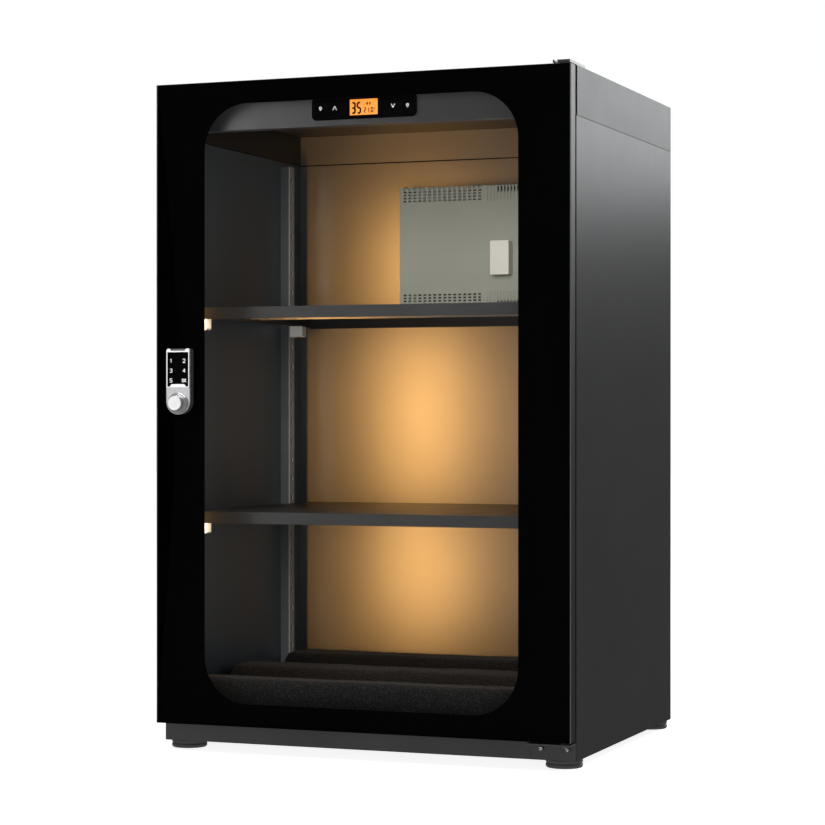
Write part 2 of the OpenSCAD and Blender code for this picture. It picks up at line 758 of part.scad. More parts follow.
// Circuit board of the dehumidifier on four stand-offs, with two parts on it
module dehumidifier_board() color([0.1, 0.35, 0.15]) {
    x0 = rib_x0 + 3;
    x1 = dry_half - dry_wall - 4;
    z0 = dry_z0 + board_rise;
    z1 = dry_z1 - board_drop;
    slab(x0, x1, dry_inner_y - 7.6, dry_inner_y - 6, z0, z1);
    for (x = [x0 + 5, x1 - 5], z = [z0 + 5, z1 - 5])
        rod_y(x, z, 2.5, dry_inner_y - 6, 6);
    slab(x0 + 10, x0 + 28, dry_inner_y - 16, dry_inner_y - 7.6, z1 - 40, z1 - 22);
    rod_y(x1 - 18, z0 + 24, 6, dry_inner_y - 20, 12.4);
}

// Humidity sensor's box on the front of the cover, with round edges
module sensor_box() color([0.85, 0.82, 0.79])
    along_y(dry_front - sensor_d, sensor_d)
        round_rect(sensor_x0, sensor_x0 + sensor_w, sensor_z0, sensor_z0 + sensor_h, 1.5);

// Two screws down through the cover's top into the tabs of the rear plate
module dehumidifier_screws() color([0.15, 0.1, 0.08])
    for (x = cover_screw_xs) {
        rod_z(x, cover_screw_y, screw_r, tab_z0, dry_z1 - tab_z0);
        rod_z(x, cover_screw_y, screw_head_r, dry_z1, screw_head_t);
    }

// Small motor that turns the shutter
module shutter_motor() color([0.6, 0.6, 0.62]) {
    x0 = flap_x0 + flap_len + 7;
    difference() {
        rod_x(flap_y - 4, flap_z, motor_r - 1, x0, motor_len);
        rod_x(flap_y, flap_z, flap_shaft_r + run_gap, x0 - 1, 6);
    }
    slab(x0 + 3, x0 + motor_len - 2, flap_y + 3, dry_inner_y, flap_z - 4, flap_z + 4);
}

// Flap that closes the port, with two knuckles on the shaft
module vent_shutter() color([0.3, 0.3, 0.3]) difference() {
    union() {
        slab(flap_x0 + 1, flap_x0 + flap_len - 1, flap_y + flap_shaft_r + 0.6,
             flap_y + flap_shaft_r + 0.6 + flap_t, flap_z - flap_h, flap_z);
        for (x = [flap_x0 + 1, flap_x0 + flap_len - 13]) {
            rod_x(flap_y, flap_z, flap_shaft_r + 1.6, x, 12);
            slab(x, x + 12, flap_y, flap_y + flap_shaft_r + 0.6, flap_z - 6, flap_z);
        }
    }
    rod_x(flap_y, flap_z, flap_shaft_r, flap_x0, flap_len);
}

module shutter_shaft() color([0.75, 0.75, 0.77])
    rod_x(flap_y, flap_z, flap_shaft_r, flap_x0 - 5.5, flap_len + 16);

// ---- hinge ----

// Flat bracket on the cap that reaches over the door, with a stop finger beside a slot
module hinge_bracket_top() color([0.75, 0.75, 0.77]) difference() {
    x0 = half_w - bracket_edge - bracket_top_w;
    y0 = y_glass + bracket_top_front;
    z1 = cab_h + bracket_top_t;
    slab(x0, half_w - bracket_edge, y0, y_body + bracket_top_back, cab_h, z1);
    slab(x0 + finger_w, x0 + finger_w + finger_gap, y0 - 1, y_body, cab_h - 1, z1 + 1);
    rod_z(hinge_x, hinge_y, pin_r, cab_h - 1, bracket_top_t + 2);
    for (dy = bracket_top_screws) {
        rod_z(hinge_x, y_body + dy, screw_r, cab_h - 1, bracket_top_t + 2);
        rod_z(hinge_x, y_body + dy, screw_head_r + seat_gap, z1 - screw_head_t, screw_head_t + 1);
    }
}

// Angle bracket on the plinth that reaches under the door
module hinge_bracket_bottom() color([0.25, 0.25, 0.26]) difference() {
    x1 = half_w - bracket_edge;
    x0 = x1 - bracket_low_w;
    union() {
        slab(x0, x1, y_glass + bracket_front, y_body, tongue_top - bracket_t, tongue_top);
        slab(x0, x1, y_body - bracket_t, y_body, z_base, tongue_top);
    }
    rod_z(hinge_x, hinge_y, pin_r, tongue_top - bracket_t - 1, bracket_t + 2);
    for (dx = bracket_low_screws)
        rod_y(hinge_x - dx, bracket_screw_z, screw_r, y_body - bracket_t - 1, bracket_t + 2);
}

// Upper pin, flush with its bracket, and lower pin with its head
module hinge_pins() color([0.7, 0.7, 0.72]) {
    rod_z(hinge_x, hinge_y, pin_r, z_door_top - hinge_pin_in,
          cab_h + bracket_top_t - z_door_top + hinge_pin_in);
    rod_z(hinge_x, hinge_y, pin_r, tongue_top - bracket_t,
          door_bottom + hinge_pin_in - tongue_top + bracket_t);
    rod_z(hinge_x, hinge_y, pin_head_r, tongue_top - bracket_t - pin_head_t, pin_head_t);
}

// Plain washers between the brackets and the door
module hinge_washers() color([0.9, 0.9, 0.88]) {
    washer_slack = 0.1;
    difference() {
        rod_z(hinge_x, hinge_y, pin_r + 3, z_door_top + washer_slack, door_top_gap - washer_slack);
        rod_z(hinge_x, hinge_y, pin_r, z_door_top, door_top_gap);
    }
    difference() {
        rod_z(hinge_x, hinge_y, pin_r + 3, tongue_top, door_bottom - tongue_top - washer_slack);
        rod_z(hinge_x, hinge_y, pin_r, tongue_top, door_bottom - tongue_top);
    }
}

module hinge_screws() color([0.6, 0.6, 0.62]) {
    for (dy = bracket_top_screws) {
        z1 = cab_h + bracket_top_t;
        rod_z(hinge_x, y_body + dy, screw_r, z1 - screw_len - 1, screw_len + 1);
        rod_z(hinge_x, y_body + dy, screw_head_r, z1 - screw_head_t, screw_head_t);
    }
    for (dx = bracket_low_screws) {
        rod_y(hinge_x - dx, bracket_screw_z, screw_r, y_body - bracket_t, screw_len);
        rod_y(hinge_x - dx, bracket_screw_z, screw_head_r, y_body - bracket_t - screw_head_t,
              screw_head_t);
    }
}

// Wear plate behind the left flange, where the lock's cam closes
module strike_plate() color([0.75, 0.75, 0.77])
    slab(-led_x0 + 0.5, -flange_x, y_flange_back, y_flange_back + 1,
         lock_z - cam_w, lock_z + cam_w);

// Hexagon nuts on the bottom plate for the feet
module foot_nuts() color([0.6, 0.6, 0.62])
    for (x = [-foot_x, foot_x], y = foot_ys)
        difference() {
            translate([x, y, z_base]) cylinder(r = foot_nut_r, h = foot_nut_h, $fn = 6);
            rod_z(x, y, foot_stud_r + run_gap, z_base - 1, foot_nut_h + 2);
        }

// Foot: round pad with a grip groove, and its threaded stud
module foot(x, y) {
    r = foot_d / 2;
    translate([x, y, 0]) rotate_extrude($fn = 96) polygon([
        [0, 0], [r - 1.6, 0], [r, 1.6], [r, foot_h * 0.42], [r - 1.2, foot_h * 0.5],
        [r - 1.2, foot_h * 0.58], [r, foot_h * 0.66], [r, foot_h - 0.8], [r - 0.8, foot_h],
        [0, foot_h]
    ]);
    rod_z(x, y, foot_stud_r, foot_h, foot_stud_top - foot_h);
}

module foot_front_left() color([0.1, 0.1, 0.1]) foot(-foot_x, foot_ys[0]);

module foot_front_right() color([0.1, 0.1, 0.1]) foot(foot_x, foot_ys[0]);

module foot_rear_left() color([0.1, 0.1, 0.1]) foot(-foot_x, foot_ys[1]);

module foot_rear_right() color([0.1, 0.1, 0.1]) foot(foot_x, foot_ys[1]);

// ---- door ----

// Holes for the lock's spindle and its two screws
module lock_holes(y0, len, slack) {
    rod_y(lock_x, lock_z, spindle_r + slack, y0, len);
    for (z = lock_screw_zs)
        rod_y(lock_x, z, lock_screw_r + slack / 4, y0, len);
}

module door_glass() color([0.6, 0.7, 0.7, 0.3]) difference() {
    slab(-half_w, half_w, y_glass, y_mask, door_bottom, z_door_top);
    lock_holes(y_glass - 1, glass_t + 2, 3);
}

module door_mask() color([0.02, 0.02, 0.02]) difference() {
    slab(-half_w, half_w, y_mask, y_frame, door_bottom, z_door_top);
    along_y(y_mask - 1, mask_t + 2)
        round_rect(-half_w + window_side, half_w - window_side, door_bottom + window_end,
                   z_door_top - window_end, window_r, $fn = 96);
    lock_holes(y_mask - 1, mask_t + 2, 3);
}

// Section of the frame profile: u from the door's edge inwards, v from the mask backwards
module profile_section() difference() {
    square([profile_w, frame_d]);
    translate([profile_wall, profile_wall]) square([chamber_w, chamber_d]);
    translate([profile_wall * 2 + chamber_w, profile_wall])
        square([profile_w - profile_wall * 3 - chamber_w, chamber_d - groove_d]);
    translate([seal_inset - groove_w / 2, frame_d - groove_d + 0.001])
        square([groove_w, groove_d]);
}

// Upright member with mitred ends
module stile() intersection() {
    translate([half_w, y_frame, door_bottom])
        linear_extrude(z_door_top - door_bottom) mirror([1, 0]) profile_section();
    along_y(y_frame - 1, frame_d + 2) polygon([
        [half_w, door_bottom], [half_w, z_door_top],
        [half_w - profile_w, z_door_top - profile_w],
        [half_w - profile_w, door_bottom + profile_w]
    ]);
}

module door_stiles() color([0.55, 0.55, 0.56]) both_sides() stile();

// Upper member of the frame, with mitred ends and the hinge pin's hole
module rail() difference() {
    intersection() {
        translate([-half_w, y_frame, z_door_top]) rotate([90, 0, 90])
            linear_extrude(cab_w) rotate(-90) profile_section();
        along_y(y_frame - 1, frame_d + 2) polygon([
            [-half_w, z_door_top], [half_w, z_door_top],
            [half_w - profile_w, z_door_top - profile_w],
            [-half_w + profile_w, z_door_top - profile_w]
        ]);
    }
    rod_z(hinge_x, hinge_y, pin_r + 0.5, z_door_top - profile_wall - 1, profile_wall + 2);
}

module door_rails() color([0.55, 0.55, 0.56]) {
    rail();
    translate([0, 0, z_door_top + door_bottom]) mirror([0, 0, 1]) rail();
}

// Corner block inside two mitred members
module corner_key() {
    slack = seat_gap;
    u0 = profile_wall + slack;
    u1 = profile_wall + chamber_w - slack;
    y0 = y_frame + profile_wall + slack;
    y1 = y_frame + profile_wall + chamber_d - slack;
    slab(half_w - u1, half_w - u0, y0, y1, z_door_top - key_leg, z_door_top - u0);
    slab(half_w - key_leg, half_w - u1, y0, y1, z_door_top - u1, z_door_top - u0);
}

// The two keys on the hinge side are bored for the pins
module hinge_key() difference() {
    corner_key();
    rod_z(hinge_x, hinge_y, pin_r + run_gap, z_door_top - hinge_pin_in - 1, hinge_pin_in + 1);
}

module corner_keys() color([0.12, 0.12, 0.12]) {
    hinge_key();
    mirror([1, 0, 0]) corner_key();
    translate([0, 0, z_door_top + door_bottom]) mirror([0, 0, 1]) {
        hinge_key();
        mirror([1, 0, 0]) corner_key();
    }
}

// Frame-shaped ring: outer and inner distances from the door's edge, and its planes
module ring(outer, inner, y0, y1) difference() {
    slab(-half_w + outer, half_w - outer, y0, y1, door_bottom + outer, z_door_top - outer);
    slab(-half_w + inner, half_w - inner, y0 - 1, y1 + 1, door_bottom + inner,
         z_door_top - inner);
}

// Magnetic seal: flat band with a root in the frame's groove
module door_seal() color([0.12, 0.12, 0.12]) {
    root = groove_w / 2 - seat_gap;
    ring(seal_inset - seal_w / 2, seal_inset + seal_w / 2, y_door_back, y_door_back + seal_t);
    ring(seal_inset - root, seal_inset + root, y_door_back - groove_d + seat_gap, y_door_back);
}

// ---- lock ----

// Outline of the lock: straight sides, round foot, small top corners
module lock_outline(inset) {
    r = 3.5;
    translate([lock_x - lock_w / 2 + inset, lock_foot_z])
        square([lock_w - 2 * inset, lock_h - lock_w / 2 - r - inset]);
    translate([lock_x - lock_w / 2 + inset + r, lock_foot_z])
        square([lock_w - 2 * inset - 2 * r, lock_h - lock_w / 2 - inset]);
    for (s = [-1, 1])
        translate([lock_x + s * (lock_w / 2 - inset - r), lock_top_z - inset - r]) circle(r);
    translate([lock_x, lock_foot_z]) circle(lock_w / 2 - inset, $fn = 96);
}

// Dark rear part of the lock, with blind screw holes and the spindle's bearing
module lock_housing() color([0.2, 0.2, 0.2]) difference() {
    along_y(y_glass - lock_d + bezel_t, lock_d - bezel_t) lock_outline(0.4);
    rod_y(lock_x, lock_z, spindle_r + run_gap, y_glass - lock_d, lock_d + 1);
    for (z = lock_screw_zs)
        rod_y(lock_x, z, lock_screw_r, y_glass - lock_screw_depth, lock_screw_depth + 1);
}

// Silver front part, with the keypad's pocket, the notch at its top and a lower foot
module lock_bezel() color([0.85, 0.85, 0.87]) difference() {
    y0 = y_glass - lock_d;
    union() {
        along_y(y0 + 1, bezel_t - 1) lock_outline(0);
        along_y(y0, 1) lock_outline(0.8);
    }
    along_y(y0 - 1, keypad_t + 1) keypad_outline();
    along_y(y0 - 1, bezel_t + 2) polygon([
        [lock_x - 13, lock_top_z + 1], [lock_x + 13, lock_top_z + 1],
        [lock_x + 10, lock_top_z - 3], [lock_x - 10, lock_top_z - 3]
    ]);
    slab(lock_x - lock_w, lock_x + lock_w, y0 - 1, y0 + lock_step, lock_low_z - 1, lock_step_z);
    rod_y(lock_x, lock_z, spindle_r + run_gap, y0 - 1, bezel_t + 2);
}

// Keypad: rectangle with a trapezoid taken out of its lower edge
module keypad_outline() difference() {
    translate([lock_x - keypad_w / 2, keypad_top_z - keypad_h]) square([keypad_w, keypad_h]);
    translate([lock_x, keypad_top_z - keypad_h])
        polygon([[-12, -1], [12, -1], [12, 0], [9.5, 3.2], [-9.5, 3.2], [-12, 0]]);
}

module lock_keypad() color([0.02, 0.02, 0.02])
    along_y(y_glass - lock_d + 0.2, keypad_t - 0.2) keypad_outline();

// Plate behind the glass that the lock's screws pull on
module lock_back_plate() color([0.7, 0.7, 0.72]) difference() {
    along_y(y_frame, back_plate_t)
        round_rect(lock_x - back_plate_w / 2, lock_x + back_plate_w / 2,
                   lock_z - 12, lock_z - 12 + back_plate_h, 4);
    lock_holes(y_frame - 1, back_plate_t + 2, run_gap);
}

module lock_screws() color([0.6, 0.6, 0.62])
    for (z = lock_screw_zs) {
        y1 = y_frame + back_plate_t;
        rod_y(lock_x, z, lock_screw_r, y_glass - lock_screw_depth + 1, y1 - y_glass
              + lock_screw_depth - 1);
        rod_y(lock_x, z, 3.5, y1, 2.2);
    }

// Knob: wide skirt, tapered grip and rounded face edge
module lock_knob() color([0.9, 0.9, 0.92]) difference() {
    r = knob_d / 2;
    back = seat_gap - lock_step;
    top = knob_len;
    translate([lock_x, y_glass - lock_d, lock_z]) rotate([90, 0, 0])
        rotate_extrude($fn = 96) polygon([
            [0, back], [knob_skirt_d / 2, back], [knob_skirt_d / 2, 0.9],
            [knob_skirt_d / 2 - 0.9, 1.8], [r + 0.8, 2.2], [r + 0.3, 3], [r, top - 1.6],
            [r - 0.5, top - 0.5], [r - 1.4, top], [0, top]
        ]);
    rod_y(lock_x, lock_z, spindle_r, y_glass - lock_d - knob_len + knob_wall, knob_len);
}

// Spindle: round through the door, square in the cam, threaded end for the nut
module lock_spindle() color([0.7, 0.7, 0.72]) {
    y0 = y_glass - lock_d - knob_len + knob_wall;
    rod_y(lock_x, lock_z, spindle_r, y0, cam_y - y0);
    slab(lock_x - cam_square / 2, lock_x + cam_square / 2, cam_y, cam_y + cam_t,
         lock_z - cam_square / 2, lock_z + cam_square / 2);
    rod_y(lock_x, lock_z, 2.5, cam_y + cam_t, nut_t + 1.5);
}

// Cam, hanging down when the lock is open
module lock_cam() color([0.75, 0.75, 0.77]) difference() {
    along_y(cam_y, cam_t) {
        translate([lock_x, lock_z]) circle(cam_w / 2);
        translate([lock_x - cam_w / 2, lock_z - cam_reach + 3])
            square([cam_w, cam_reach - 3]);
        translate([lock_x - cam_w / 2 + 3, lock_z - cam_reach]) square([cam_w - 6, cam_reach]);
        for (s = [-1, 1])
            translate([lock_x + s * (cam_w / 2 - 3), lock_z - cam_reach + 3]) circle(3);
    }
    slab(lock_x - cam_hole / 2, lock_x + cam_hole / 2, cam_y - 1, cam_y + cam_t + 1,
         lock_z - cam_hole / 2, lock_z + cam_hole / 2);
}

module cam_nut() color([0.6, 0.6, 0.62]) difference() {
    translate([lock_x, cam_y + cam_t + nut_t, lock_z]) rotate([90, 0, 0])
        cylinder(r = 4.6, h = nut_t, $fn = 6);
    rod_y(lock_x, lock_z, 2.5, cam_y + cam_t - 1, nut_t + 2);
}

base_tray();
floor_panel();
side_panel_left();
side_panel_right();
back_panel();
ceiling_panel();
top_cap();
cap_gasket();
header_bar();
post_front_left();
post_front_right();
post_rear_left();
post_rear_right();
led_strip_left();
led_strip_right();
control_panel();
lcd_display();
control_board();
power_jack();
shelf_lower();
shelf_upper();
shelf_stiffeners();
shelf_clips();
foam_pad();
dehumidifier_base();
dehumidifier_cover();
desiccant_cartridge();
heater_plate();
dehumidifier_board();
sensor_box();
dehumidifier_screws();
shutter_motor();
vent_shutter();
shutter_shaft();
hinge_bracket_top();
hinge_bracket_bottom();
hinge_pins();
hinge_washers();
hinge_screws();
strike_plate();
foot_nuts();
door_glass();
door_mask();
door_stiles();
door_rails();
corner_keys();
door_seal();
lock_housing();
lock_bezel();
lock_keypad();
lock_back_plate();
lock_screws();
lock_knob();
lock_spindle();
lock_cam();
cam_nut();
foot_front_left();
foot_front_right();
foot_rear_left();
foot_rear_right();
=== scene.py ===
"""Looks of the desiccator cabinet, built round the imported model. Metres, Z up, front towards -Y."""
import math

import bmesh
import bpy
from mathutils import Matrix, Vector, noise


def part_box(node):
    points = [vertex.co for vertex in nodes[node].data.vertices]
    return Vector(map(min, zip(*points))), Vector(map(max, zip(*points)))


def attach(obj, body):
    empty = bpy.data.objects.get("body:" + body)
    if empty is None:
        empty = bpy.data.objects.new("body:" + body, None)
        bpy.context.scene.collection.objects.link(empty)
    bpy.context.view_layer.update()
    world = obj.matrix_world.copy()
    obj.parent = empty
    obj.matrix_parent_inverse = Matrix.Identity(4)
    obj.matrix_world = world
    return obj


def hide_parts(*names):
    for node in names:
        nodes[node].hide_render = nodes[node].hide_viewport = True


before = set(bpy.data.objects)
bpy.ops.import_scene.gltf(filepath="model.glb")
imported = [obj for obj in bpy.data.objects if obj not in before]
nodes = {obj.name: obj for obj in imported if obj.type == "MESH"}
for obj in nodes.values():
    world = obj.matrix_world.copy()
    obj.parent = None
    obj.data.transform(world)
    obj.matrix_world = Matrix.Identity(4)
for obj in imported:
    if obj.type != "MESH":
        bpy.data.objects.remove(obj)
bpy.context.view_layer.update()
scene = bpy.context.scene


# ---------------------------------------------------------------- node helpers
class Tree:
    """Short calls for building one material's nodes."""

    def __init__(self, name):
        self.material = bpy.data.materials.new(name)
        self.material.use_nodes = True
        self.nodes = self.material.node_tree.nodes
        self.links = self.material.node_tree.links
        self.shader = self.nodes["Principled BSDF"]
        self.place = self.node("ShaderNodeTexCoord").outputs["Object"]

    def node(self, kind, **values):
        made = self.nodes.new(kind)
        for key, value in values.items():
            setattr(made, key, value)
        return made

    def link(self, source, target):
        self.links.new(source, target)

    def axis(self, vector, letter):
        """One component of a vector output."""
        made = self.node("ShaderNodeSeparateXYZ")
        self.link(vector, made.inputs[0])
        return made.outputs[letter]

    def noise(self, scale, detail=3.0, stretch=None, rough=0.5):
        made = self.node("ShaderNodeTexNoise")
        made.inputs["Scale"].default_value = scale
        made.inputs["Detail"].default_value = detail
        made.inputs["Roughness"].default_value = rough
        if stretch:
            scaled = self.node("ShaderNodeMapping")
            scaled.inputs["Scale"].default_value = stretch
            self.link(self.place, scaled.inputs["Vector"])
            self.link(scaled.outputs[0], made.inputs["Vector"])
        else:
            self.link(self.place, made.inputs["Vector"])
        return made.outputs["Fac"]

    def cells(self, scale):
        made = self.node("ShaderNodeTexVoronoi", feature="F1")
        made.inputs["Scale"].default_value = scale
        self.link(self.place, made.inputs["Vector"])
        return made.outputs["Distance"]

    def spread(self, value, low, high, at=(0.3, 0.7)):
        """Maps the part of a field that lies within `at` to low..high."""
        made = self.node("ShaderNodeMapRange")
        made.inputs["From Min"].default_value = at[0]
        made.inputs["From Max"].default_value = at[1]
        made.inputs["To Min"].default_value = low
        made.inputs["To Max"].default_value = high
        self.link(value, made.inputs["Value"])
        return made.outputs["Result"]

    def blend(self, factor, first, second):
        """Colour between two colours, or between an output and a colour."""
        made = self.node("ShaderNodeMix", data_type="RGBA")
        self.link(factor, made.inputs["Factor"])
        for socket, value in ((made.inputs["A"], first), (made.inputs["B"], second)):
            if isinstance(value, tuple):
                socket.default_value = (*value, 1)
            else:
                self.link(value, socket)
        return made.outputs["Result"]

    def math(self, operation, first, second=0.0):
        made = self.node("ShaderNodeMath", operation=operation)
        for socket, value in zip(made.inputs, (first, second)):
            if isinstance(value, float):
                socket.default_value = value
            else:
                self.link(value, socket)
        return made.outputs[0]

    def bump(self, height, distance, edge=0.0):
        """Bump of that height in metres, over softened edges where edge is a radius."""
        made = self.node("ShaderNodeBump")
        made.inputs["Distance"].default_value = distance
        made.inputs["Strength"].default_value = 1.0
        self.link(height, made.inputs["Height"])
        if edge:
            soft = self.node("ShaderNodeBevel", samples=4)
            soft.inputs["Radius"].default_value = edge
            self.link(soft.outputs[0], made.inputs["Normal"])
        self.link(made.outputs[0], self.shader.inputs["Normal"])

    def set(self, **values):
        """Sets or links the shader's sockets; an underscore stands for a space."""
        for key, value in values.items():
            socket = self.shader.inputs[key.replace("_", " ")]
            if isinstance(value, float):
                socket.default_value = value
            else:
                self.link(value, socket)


def finish_coat(name, dark, light, rough, metal=0.0, level=0.5, grain=650.0, depth=0.00003,
                edge=0.0, cloud=9.0, rough_span=0.06):
    """Paint, plastic or metal: cloudy colour, varied gloss and a fine surface grain."""
    t = Tree(name)
    t.set(Base_Color=t.blend(t.spread(t.noise(cloud), 0, 1), dark, light),
          Roughness=t.spread(t.noise(cloud * 2.7), rough - rough_span / 2, rough + rough_span / 2),
          Metallic=metal, Specular_IOR_Level=level)
    t.bump(t.noise(grain, 2.0), depth, edge)
    return t.material


def brushed(name, dark, light, rough, stretch, edge=0.0):
    """Metal with fine lines along one direction."""
    t = Tree(name)
    lines = t.noise(1.0, 4.0, stretch)
    t.set(Base_Color=t.blend(t.spread(lines, 0, 1), dark, light),
          Roughness=t.spread(lines, rough - 0.06, rough + 0.06), Metallic=1.0)
    t.bump(lines, 0.00002, edge)
    return t.material


def give(material, *names):
    """Puts a material on CAD nodes."""
    for name in names:
        target = nodes[name]
        if not target.material_slots:
            target.data.materials.append(material)
        for used in target.material_slots:
            used.link = "OBJECT"
            used.material = material


# ---------------------------------------------------------------- materials
BODY_DARK, BODY_LIGHT = (0.019, 0.0195, 0.020), (0.023, 0.0235, 0.024)
SATIN_DARK, SATIN_LIGHT = (0.46, 0.45, 0.44), (0.50, 0.49, 0.475)
SATIN_ROUGH, SATIN_METAL = 0.37, 0.85

cabinet_paint = finish_coat("cabinet_paint", BODY_DARK, BODY_LIGHT, 0.33,
                            level=0.35, edge=0.0007, rough_span=0.02)
cap_paint = finish_coat("cap_paint", BODY_DARK, BODY_LIGHT, 0.35,
                        level=0.29, edge=0.0007, rough_span=0.02)
plinth_paint = finish_coat("plinth_paint", (0.049, 0.049, 0.050), (0.059, 0.059, 0.060), 0.42,
                           level=0.4, edge=0.0006)
header_paint = finish_coat("header_paint", (0.040, 0.040, 0.041), (0.048, 0.048, 0.049), 0.40,
                           edge=0.0006)
inner_paint = finish_coat("inner_paint", (0.022, 0.0215, 0.021), (0.028, 0.0272, 0.0265), 0.40,
                          level=0.4, edge=0.0005)
wall_paint = finish_coat("wall_paint", SATIN_DARK, SATIN_LIGHT, SATIN_ROUGH, metal=SATIN_METAL,
                         grain=420.0, depth=0.00002, rough_span=0.03)
shelf_paint = finish_coat("shelf_paint", (0.075, 0.075, 0.075), (0.090, 0.090, 0.090), 0.40,
                          metal=0.5, level=0.3, edge=0.0006)
hinge_steel = finish_coat("hinge_steel", (0.13, 0.13, 0.132), (0.17, 0.17, 0.172), 0.30, metal=1.0,
                          grain=1200.0, depth=0.00001, edge=0.0004)
screw_black = finish_coat("screw_black", (0.46, 0.46, 0.462), (0.56, 0.56, 0.562), 0.30, metal=1.0,
                          grain=2200.0, depth=0.00002, edge=0.0006)
plated = brushed("plated", (0.50, 0.50, 0.51), (0.66, 0.66, 0.67), 0.34, (60, 60, 900), edge=0.0003)
knob_satin = finish_coat("knob_satin", (0.78, 0.78, 0.79), (0.84, 0.84, 0.85), 0.26, metal=0.85,
                         grain=1500.0, depth=0.000008, edge=0.0004)
lock_side = finish_coat("lock_side", (0.16, 0.16, 0.165), (0.21, 0.21, 0.215), 0.35, metal=0.7,
                        grain=1200.0, depth=0.00001, edge=0.0004)
black_gloss = finish_coat("black_gloss", (0.0016, 0.0016, 0.0018), (0.0026, 0.0026, 0.0028), 0.14,
                          level=0.10, grain=60.0, depth=0.000004, edge=0.0003)
black_plastic = finish_coat("black_plastic", (0.014, 0.014, 0.015), (0.020, 0.020, 0.021), 0.5,
                            grain=1300.0, depth=0.00004, edge=0.0003)
mask_print = finish_coat("mask_print", (0.0006, 0.0006, 0.0007), (0.0010, 0.0010, 0.0011), 0.35,
                         level=0.05, grain=500.0, depth=0.000004)
alu_side = brushed("alu_side", (0.085, 0.085, 0.087), (0.135, 0.135, 0.138), 0.40, (900, 900, 30),
                   edge=0.0004)
rubber = finish_coat("rubber", (0.010, 0.010, 0.0105), (0.016, 0.016, 0.0165), 0.55, level=0.4,
                     grain=900.0, depth=0.00006)
foot_rubber = finish_coat("foot_rubber", (0.062, 0.062, 0.0625), (0.074, 0.074, 0.0745), 0.20,
                          grain=900.0, depth=0.00004, edge=0.0005)
housing_plastic = finish_coat("housing_plastic", (0.280, 0.275, 0.225), (0.302, 0.296, 0.243), 0.6,
                              level=0.3, grain=1400.0, depth=0.00006, edge=0.0005)
sensor_plastic = finish_coat("sensor_plastic", (0.62, 0.58, 0.52), (0.70, 0.66, 0.60), 0.5,
                             level=0.4, grain=1500.0, depth=0.00004, edge=0.0006)
clip_plastic = finish_coat("clip_plastic", (0.60, 0.59, 0.57), (0.68, 0.67, 0.65), 0.35,
                           grain=1000.0, depth=0.00002, edge=0.0006)
white_plastic = finish_coat("white_plastic", (0.66, 0.66, 0.64), (0.74, 0.74, 0.72), 0.45,
                            grain=1000.0)
aluminium = brushed("aluminium", (0.62, 0.62, 0.64), (0.76, 0.76, 0.78), 0.36, (40, 40, 700))
dark_screw = finish_coat("dark_screw", (0.012, 0.005, 0.003), (0.024, 0.010, 0.006), 0.5,
                         metal=0.3, grain=2000.0)
board_green = finish_coat("board_green", (0.010, 0.060, 0.022), (0.016, 0.085, 0.032), 0.35,
                          grain=900.0, depth=0.00005, cloud=120.0)


def glass_material():
    """Coated clear glass: a faint mirror that grows at a glance, and grey-green cut edges."""
    t = Tree("clear_glass")
    facing = t.node("ShaderNodeFresnel")
    facing.inputs["IOR"].default_value = 1.12
    smear = t.spread(t.noise(2.2, 2.0), 0.85, 1.15)
    mirror = t.math("MULTIPLY", facing.outputs[0], smear)
    # The pane's own normal, so that the edges stay edges when the door turns
    across = t.axis(t.node("ShaderNodeTexCoord").outputs["Normal"], "Y")
    edge = t.math("LESS_THAN", t.math("ABSOLUTE", across), 0.5)
    t.set(Base_Color=t.blend(edge, (0.95, 0.96, 0.96), (0.15, 0.165, 0.16)),
          Roughness=t.spread(edge, 0.03, 0.25, (0, 1)),
          Metallic=t.spread(edge, 1.0, 0.0, (0, 1)),
          Alpha=t.math("MAXIMUM", t.math("MINIMUM", mirror, 0.22), edge))
    return t.material


def amber_display():
    """Backlit display: amber with a faint unevenness."""
    t = Tree("amber_display")
    glow = t.blend(t.spread(t.noise(90.0), 0, 1), (0.95, 0.28, 0.035), (1.0, 0.34, 0.05))
    t.set(Base_Color=glow, Emission_Color=glow, Emission_Strength=0.75, Roughness=0.3)
    return t.material


def sheet_material():
    """Satin inner face; the cabinet's dark paint on the rear face, and the same dark colour as
    painted shade on faces that lie level.
    """
    t = Tree("sheet_paint_and_shade")
    normal = t.node("ShaderNodeNewGeometry").outputs["True Normal"]
    # Level faces, such as the ceiling's underside, take the dark colour as painted shade; the rear
    # face takes it as the real outer paint
    flat_shade = t.math("GREATER_THAN", t.math("ABSOLUTE", t.axis(normal, "Z")), 0.5)
    dark = t.math("MAXIMUM", flat_shade, t.math("GREATER_THAN", t.axis(normal, "Y"), 0.5))
    cloud = t.spread(t.noise(9.0), 0, 1)
    t.set(Base_Color=t.blend(dark, t.blend(cloud, SATIN_DARK, SATIN_LIGHT),
                             t.blend(cloud, (0.046, 0.045, 0.044), (0.054, 0.053, 0.052))),
          Roughness=t.spread(dark, SATIN_ROUGH, 0.5, (0, 1)),
          Metallic=t.spread(dark, SATIN_METAL, 0.1, (0, 1)))
    t.bump(t.noise(420.0, 2.0), 0.00002)
    return t.material


